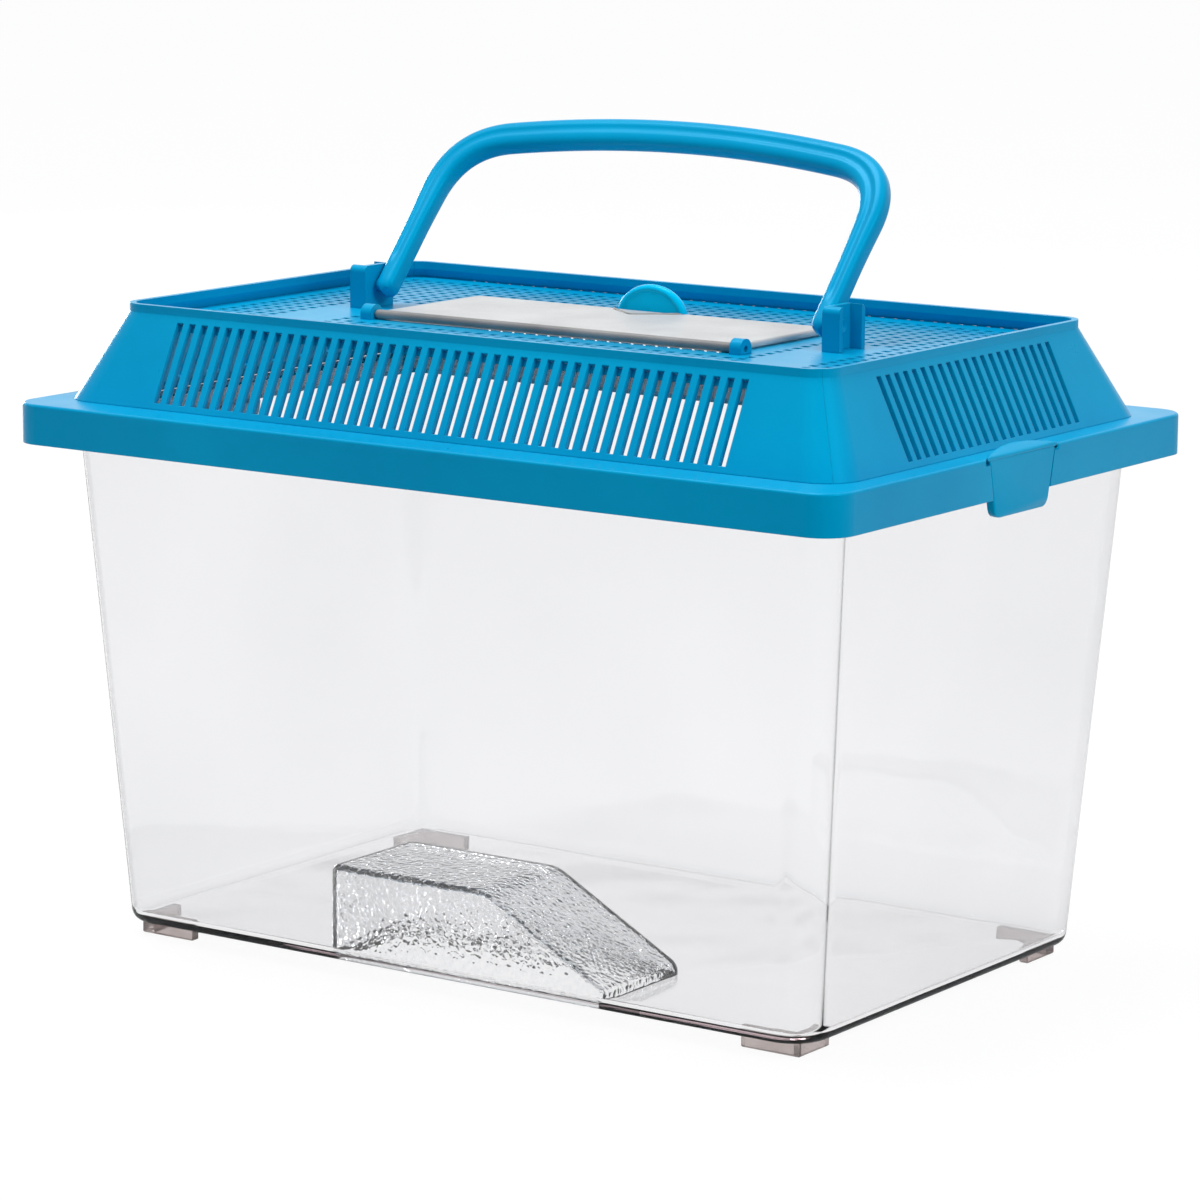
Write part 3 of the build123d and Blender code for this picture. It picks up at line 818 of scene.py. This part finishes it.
# Rows from the lower edge of a wall up and over to the spine along the middle of the top
def islandSkin(spec, inset, drop):
    halfX = (spec["right"] - spec["left"]) / 2 - inset
    halfY = (spec["back"] - spec["front"]) / 2 - inset
    centre = ((spec["right"] + spec["left"]) / 2, (spec["back"] + spec["front"]) / 2)
    radius = max(spec["cornerRadius"] - inset, spec["leastRadius"])
    edge = max(spec["edge"] - inset, spec["leastEdge"])
    counts = (spec["perSide"], spec["perCorner"])
    rows = []
    for share in np.linspace(0, 1, spec["wallRows"]):
        loop = roundedLoop(halfX, halfY, radius, centre, *counts)
        height = spec["foot"] + (islandTop(spec, loop[:, 0]) - drop - edge - spec["foot"]) * share
        rows.append(np.column_stack([loop, height]))
    for angle in np.linspace(0, math.pi / 2, spec["edgeRows"] + 1)[1:]:
        inward, up = edge * (1 - math.cos(angle)), edge * math.sin(angle)
        topRadius = max(radius - inward, spec["leastTopRadius"])
        loop = roundedLoop(halfX - inward, halfY - inward, topRadius, centre, *counts)
        rows.append(np.column_stack([loop, islandTop(spec, loop[:, 0]) - drop - edge + up]))
    flat = rows[-1][:, :2]
    spineHalf = halfX - halfY
    spine = np.column_stack([
        centre[0] + np.clip(flat[:, 0] - centre[0], -spineHalf, spineHalf),
        np.full(len(flat), centre[1]),
    ])
    for share in np.linspace(1, 0, spec["capRows"] + 1)[1:]:
        spot = spine + (flat - spine) * share
        height = islandTop(spec, spot[:, 0]) - drop
        rows.append(np.column_stack([spot, height]))
    return np.array(rows)


# Outer and inner skin in one; the ramp's dots are the upper halves of a product of two sine waves
def islandMesh(spec):
    outer = islandSkin(spec, 0.0, 0.0)
    x, y = outer[..., 0], outer[..., 1]
    rise = smoothStep((x - spec["rampStart"] - spec["dotsFrom"]) / spec["dotsRise"])
    fall = smoothStep((spec["right"] - spec["dotsUntil"] - x) / spec["dotsFall"])
    wave = 2 * math.pi / spec["stipplePitch"]
    dots = np.maximum(np.sin(x * wave) * np.sin(y * wave), 0) * spec["stippleHeight"]
    top = spec["wallRows"] + spec["edgeRows"]
    outer[top:, :, 2] += (rise * fall * dots)[top:]
    inner = islandSkin(spec, spec["wall"], spec["wall"])
    points = np.concatenate([outer[::-1], inner]) * mm
    return meshFromGrid("baskingIsland", points, wrapAcross=True)


addPiece(
    "baskingIsland", [islandMesh(islandSpec)], stippled, "tank", ["basking_island"],
)
print("stage: basking island")


# feeding hatch

hatchSpec = {
    "halfLength": 66.0,
    "front": -27.0,
    "back": 27.0,
    "under": 194.7,
    "top": 196.9,
    "corner": 3.0,
    "edge": 0.9,
    "recessHalf": 13.5,
    "recessReach": 9.5,
    "recessDepth": 0.55,
    "recessWidth": 1.1,
    "stepsLong": 241,
    "stepsWide": 121,
    "gather": 0.9,             # under 1, so that the steps lie a little closer at the ends
    "dishRun": 4.0,
    "dishShare": 0.5,
    "lineSteps": 81,
    "lineRadius": 0.42,
    "lineTip": 0.1,            # roundness of the V's tip, as a share of its half width
    "lineSink": 0.05,
    "barrelRadius": 1.25,
    "barrelDrop": 0.35,
    "barrelInset": 0.5,
    "barrelY": -25.7,
    "barrelZ": 196.0,
    "pinHalf": 69.0,
    "pinRadius": 0.9,
    "railHalf": 66.2,
    "railSize": 2.96,
    "railPower": 2.2,
    "railAround": 32,
    "railSteps": 60,
    "railEndRun": (0, 0.15, 0.5),
    "railEndSize": (0, 0.85, 0.97),
    "railEnd": 1.0,
}


# One side of the plate: its edges fall away in a quarter round, and the top has a V-shaped recess
def hatchSheet(spec, upper):
    spread = np.sin(np.linspace(-math.pi / 2, math.pi / 2, spec["stepsLong"]))
    u = np.sign(spread) * np.abs(spread) ** spec["gather"]
    v = (np.sin(np.linspace(-math.pi / 2, math.pi / 2, spec["stepsWide"])) + 1) / 2
    y = spec["front"] + (spec["back"] - spec["front"]) * v[None, :]
    intoCorner = np.clip(y - (spec["back"] - spec["corner"]), 0, spec["corner"])
    cut = spec["corner"] - np.sqrt(np.maximum(spec["corner"] ** 2 - intoCorner ** 2, 0))
    halfX = spec["halfLength"] - cut
    x = u[:, None] * halfX
    y = np.broadcast_to(y, x.shape)
    fromEdge = np.minimum(halfX - np.abs(x), np.minimum(spec["back"] - y, y - spec["front"]))
    fall = np.clip(1 - fromEdge / spec["edge"], 0, 1)
    drop = spec["edge"] * (1 - np.sqrt(np.maximum(1 - fall ** 2, 0)))
    middle = spec["top"] - spec["edge"]
    if upper:
        line = spec["back"] - spec["recessReach"] * (1 - np.abs(x) / spec["recessHalf"])
        across = (y - line) / spec["recessWidth"]
        inRecess = np.abs(x) < spec["recessHalf"]
        groove = np.exp(-across ** 2) * inRecess
        dish = smoothStep((y - line) / spec["dishRun"]) * inRecess * spec["dishShare"]
        recess = spec["recessDepth"] * np.maximum(groove, dish) * np.clip(fromEdge, 0, 1)
        z = spec["top"] - drop - recess
    else:
        z = np.minimum(spec["under"] + drop * (middle - spec["under"]) / spec["edge"], middle)
    return meshFromGrid("hatchSheet", np.stack([x, y, z], axis=-1) * mm)


# The barrel along the hinge's axis, and the thinner pins that come out of it
def hatchRods(spec):
    half, y, z = spec["halfLength"] - spec["barrelInset"], spec["barrelY"], spec["barrelZ"]
    return [
        rodMesh("hatchBarrel", spec["barrelRadius"], half, y, z - spec["barrelDrop"]),
        rodMesh("hatchPin", spec["pinRadius"], spec["pinHalf"], y, z),
    ]


hatchSheets = [hatchSheet(hatchSpec, True), hatchSheet(hatchSpec, False)]
addPiece(
    "feedingHatch", hatchSheets, frosted, "feeding_hatch", ["feeding_hatch"],
)
addPiece("hatchBarrel", hatchRods(hatchSpec), frosted, "feeding_hatch")


# A closed round tube along an open path, drawn to a point at both ends; a blunter one does so later
def tubeMesh(name, path, radius, around=12, bluntness=6.0):
    tangent = np.gradient(path, axis=0)
    tangent /= np.linalg.norm(tangent, axis=1)[:, None]
    side = np.cross(tangent, (0, 0, 1))
    side /= np.linalg.norm(side, axis=1)[:, None]
    lift = np.cross(side, tangent)
    share = np.linspace(0, math.pi, len(path))
    taper = np.minimum(np.sin(share) * bluntness, 1) * radius
    angle = np.linspace(0, 2 * math.pi, around, endpoint=False)
    cosine, sine = np.cos(angle)[None, :, None], np.sin(angle)[None, :, None]
    ring = cosine * side[:, None, :] + sine * lift[:, None, :]
    return meshFromGrid(name, (path[:, None, :] + taper[:, None, None] * ring) * mm, wrapAcross=True)


# A dark raised line along the finger recess, a painted shadow and reflection of the catch on the hatch: a soft V
# that starts and ends at the plate's back edge
def paintedShadowLine(spec):
    steps = spec["lineSteps"]
    x = np.linspace(-spec["recessHalf"], spec["recessHalf"], steps)
    tip = spec["lineTip"]
    reach = spec["recessReach"] * (1 - np.sqrt((x / spec["recessHalf"]) ** 2 + tip ** 2)) / (1 - tip)
    y = spec["back"] - spec["edge"] - np.maximum(reach, 0)
    path = np.column_stack([x, y, np.full(steps, spec["top"] - spec["lineSink"])])
    return tubeMesh("paintedShadowLine", path, spec["lineRadius"])


# The hatch's front rail: a rounded bar about the hinge's axis, so that it clears the deck as it turns
def railMesh(spec):
    angle = np.linspace(0, 2 * math.pi, spec["railAround"], endpoint=False)
    size = spec["railSize"] / 2
    through, up = superEllipse(angle, size, size, spec["railPower"])
    length = 2 * spec["railHalf"]
    endRun, endSize = np.array(spec["railEndRun"]), np.array(spec["railEndSize"])
    middle = np.linspace(spec["railEnd"], length - spec["railEnd"], spec["railSteps"])
    along = np.concatenate([endRun, middle, length - endRun[::-1]]) - spec["railHalf"]
    share = np.concatenate([endSize, np.ones(len(middle)), endSize[::-1]])[:, None]
    x = np.broadcast_to(along[:, None], (len(along), len(angle)))
    y = spec["barrelY"] + share * through
    z = spec["barrelZ"] + share * up
    return meshFromGrid("hatchRail", np.stack([x, y, z], axis=-1) * mm, wrapAcross=True)


# The rail and the line take the darker grey copy of the hatch plastic, which is painted shade
hatchTrim = [paintedShadowLine(hatchSpec), railMesh(hatchSpec)]
addPiece("hatchRail", hatchTrim, shadedFrosted, "feeding_hatch")
print("stage: feeding hatch")


# half-round catch behind the hatch

catchSpec = {
    "halfWidth": 13.2,
    "front": 27.4,
    "back": 30.4,
    "foot": 194.4,
    "height": 10.6,
    "dish": 0.65,          # thickness of the dished middle, as a share of the bead's
    "dishEnd": 0.80,       # share of the radius where the dish starts to rise to the bead
    "dishRun": 0.08,
    "beadStart": 0.86,
    "steps": 61,
    "dishShares": np.linspace(0, 0.72, 8),
    "beadShares": np.linspace(0.76, 1.0, 14),
}


# A half disc with a raised bead round its edge on both faces, and a dished middle
def catchMesh(spec):
    share = np.concatenate([spec["dishShares"], spec["beadShares"]])[:, None]
    angle = np.linspace(0, math.pi, spec["steps"])[None, :]
    middle = (spec["front"] + spec["back"]) / 2
    half = (spec["back"] - spec["front"]) / 2
    rim = np.clip((share - spec["beadStart"]) / (1 - spec["beadStart"]), 0, 1)
    blend = smoothStep((share - spec["dishEnd"]) / spec["dishRun"])
    bead = np.sqrt(np.maximum(1 - rim ** 2, 0))
    thickness = half * ((1 - blend) * spec["dish"] + blend * bead)
    x = spec["halfWidth"] * share * np.cos(angle)
    z = spec["foot"] + spec["height"] * share * np.sin(angle)
    faceMeshes = []
    for sign in (-1, 1):
        y = np.broadcast_to(middle + sign * thickness, x.shape)
        faceMeshes.append(meshFromGrid("catchFace", np.stack([x, y, z], axis=-1) * mm))
    ends = thickness[:, 0]
    across = np.concatenate([-share[::-1, 0], share[1:, 0]])
    widths = np.concatenate([ends[::-1], ends[1:]])
    footX, footZ = -spec["halfWidth"] * across, np.full(len(across), spec["foot"])
    foot = np.stack([np.stack([footX, middle + sign * widths, footZ], axis=-1) for sign in (-1, 1)])
    faceMeshes.append(meshFromGrid("catchFoot", foot * mm))
    return faceMeshes


# The catch wears the lighter blue, painted light over the lid's own colour
addPiece("hatchCatch", catchMesh(catchSpec), litCatchBlue, "lid", ["hatch_catch"])
print("stage: catch")


# end latches

latchSpec = {
    "face": 150.0,
    "plateBack": 148.25,
    "hookBack": 147.4,
    "hookFace": 148.8,
    "foot": 151.9,
    "hookTop": 157.1,
    "plateTop": 169.3,
    "footHalf": 15.0,
    "topHalf": 18.75,
    "corner": 3.0,
    "soft": 0.3,
    "lipHalf": 20.6,
    "lipReach": 3.9,
    "lipFront": 169.95,
    "lipRise": 2.1,
    "lipThickness": 1.3,
    "lipPower": 4.0,
    "lipSink": 0.35,
    "lipTip": 0.8,             # reach under which the lip thins toward its two ends
    "lipSteps": 61,
    "lipAround": 28,
    "hookInset": 0.1,
    "cornerSteps": 8,
}


# The tapering tab in the YZ plane, with round corners at its foot
def latchOutline(spec, top, grow):
    taper = (spec["topHalf"] - spec["footHalf"]) / (spec["plateTop"] - spec["foot"])
    half = spec["footHalf"] + taper * (top - spec["foot"]) + grow
    radius = spec["corner"]
    low, side = spec["foot"] - grow, spec["footHalf"] + grow
    start, end = (side + taper * radius, low + radius), (side - radius, low)
    arc = bend(start, (side, low), end, spec["cornerSteps"])
    left = arc[::-1] * (-1, 1)
    return np.concatenate([[(-half, top + grow)], [(half, top + grow)], arc, left])


# The tab's outline carried along X, with its outer edges softened
def platePrism(spec, side, back, face, top, grow):
    soft = spec["soft"]
    levels = [(back, grow), (face - soft, grow), (face, grow - soft)]
    rings = []
    for reach, levelGrow in levels:
        outline = latchOutline(spec, top, levelGrow)
        rings.append(np.column_stack([np.full(len(outline), side * reach), outline]))
    points = np.array(rings) * mm
    count = points.shape[1]
    caps = [tuple(range(count)), tuple(range(2 * count, 3 * count))[::-1]]
    faces = caps + ringQuads(count, len(levels))
    mesh = bpy.data.meshes.new("latchPlate")
    mesh.from_pydata(points.reshape(-1, 3).tolist(), [], faces)
    return mesh


# The thumb lip: a lens that is straight along the skirt and rises to its bowed inner edge
def lipMesh(spec, side):
    y = np.linspace(-spec["lipHalf"], spec["lipHalf"], spec["lipSteps"])[:, None]
    sagitta, half = spec["lipReach"], spec["lipHalf"]
    radius = (half ** 2 + sagitta ** 2) / (2 * sagitta)
    reach = np.sqrt(radius ** 2 - y ** 2) - (radius - sagitta)
    angle = np.linspace(0, 2 * math.pi, spec["lipAround"], endpoint=False)[None, :]
    across, up = superEllipse(angle, 0.5, spec["lipThickness"] / 2, spec["lipPower"])
    depth = reach * (0.5 + across)
    ends = np.sqrt(np.clip(reach / spec["lipTip"], 0, 1))
    x = side * (spec["face"] - depth)
    z = spec["lipFront"] + spec["lipRise"] * (depth / sagitta) - spec["lipSink"] + up * ends
    points = np.stack([x, np.broadcast_to(y, x.shape), z], axis=-1) * mm
    return meshFromGrid("latchLip", points, wrapAcross=True)


# The flush plate, the hooked foot behind it and the thumb lip over it
def latchMeshes(spec, side):
    return [
        platePrism(spec, side, spec["plateBack"], spec["face"], spec["plateTop"], 0.0),
        platePrism(spec, side, spec["hookBack"], spec["hookFace"], spec["hookTop"], -spec["hookInset"]),
        lipMesh(spec, side),
    ]


for name, side in (("left", -1), ("right", 1)):
    node = "latch_" + name
    addPiece("endLatch" + name.title(), latchMeshes(latchSpec, side), blue, node, [node])
print("stage: latches")
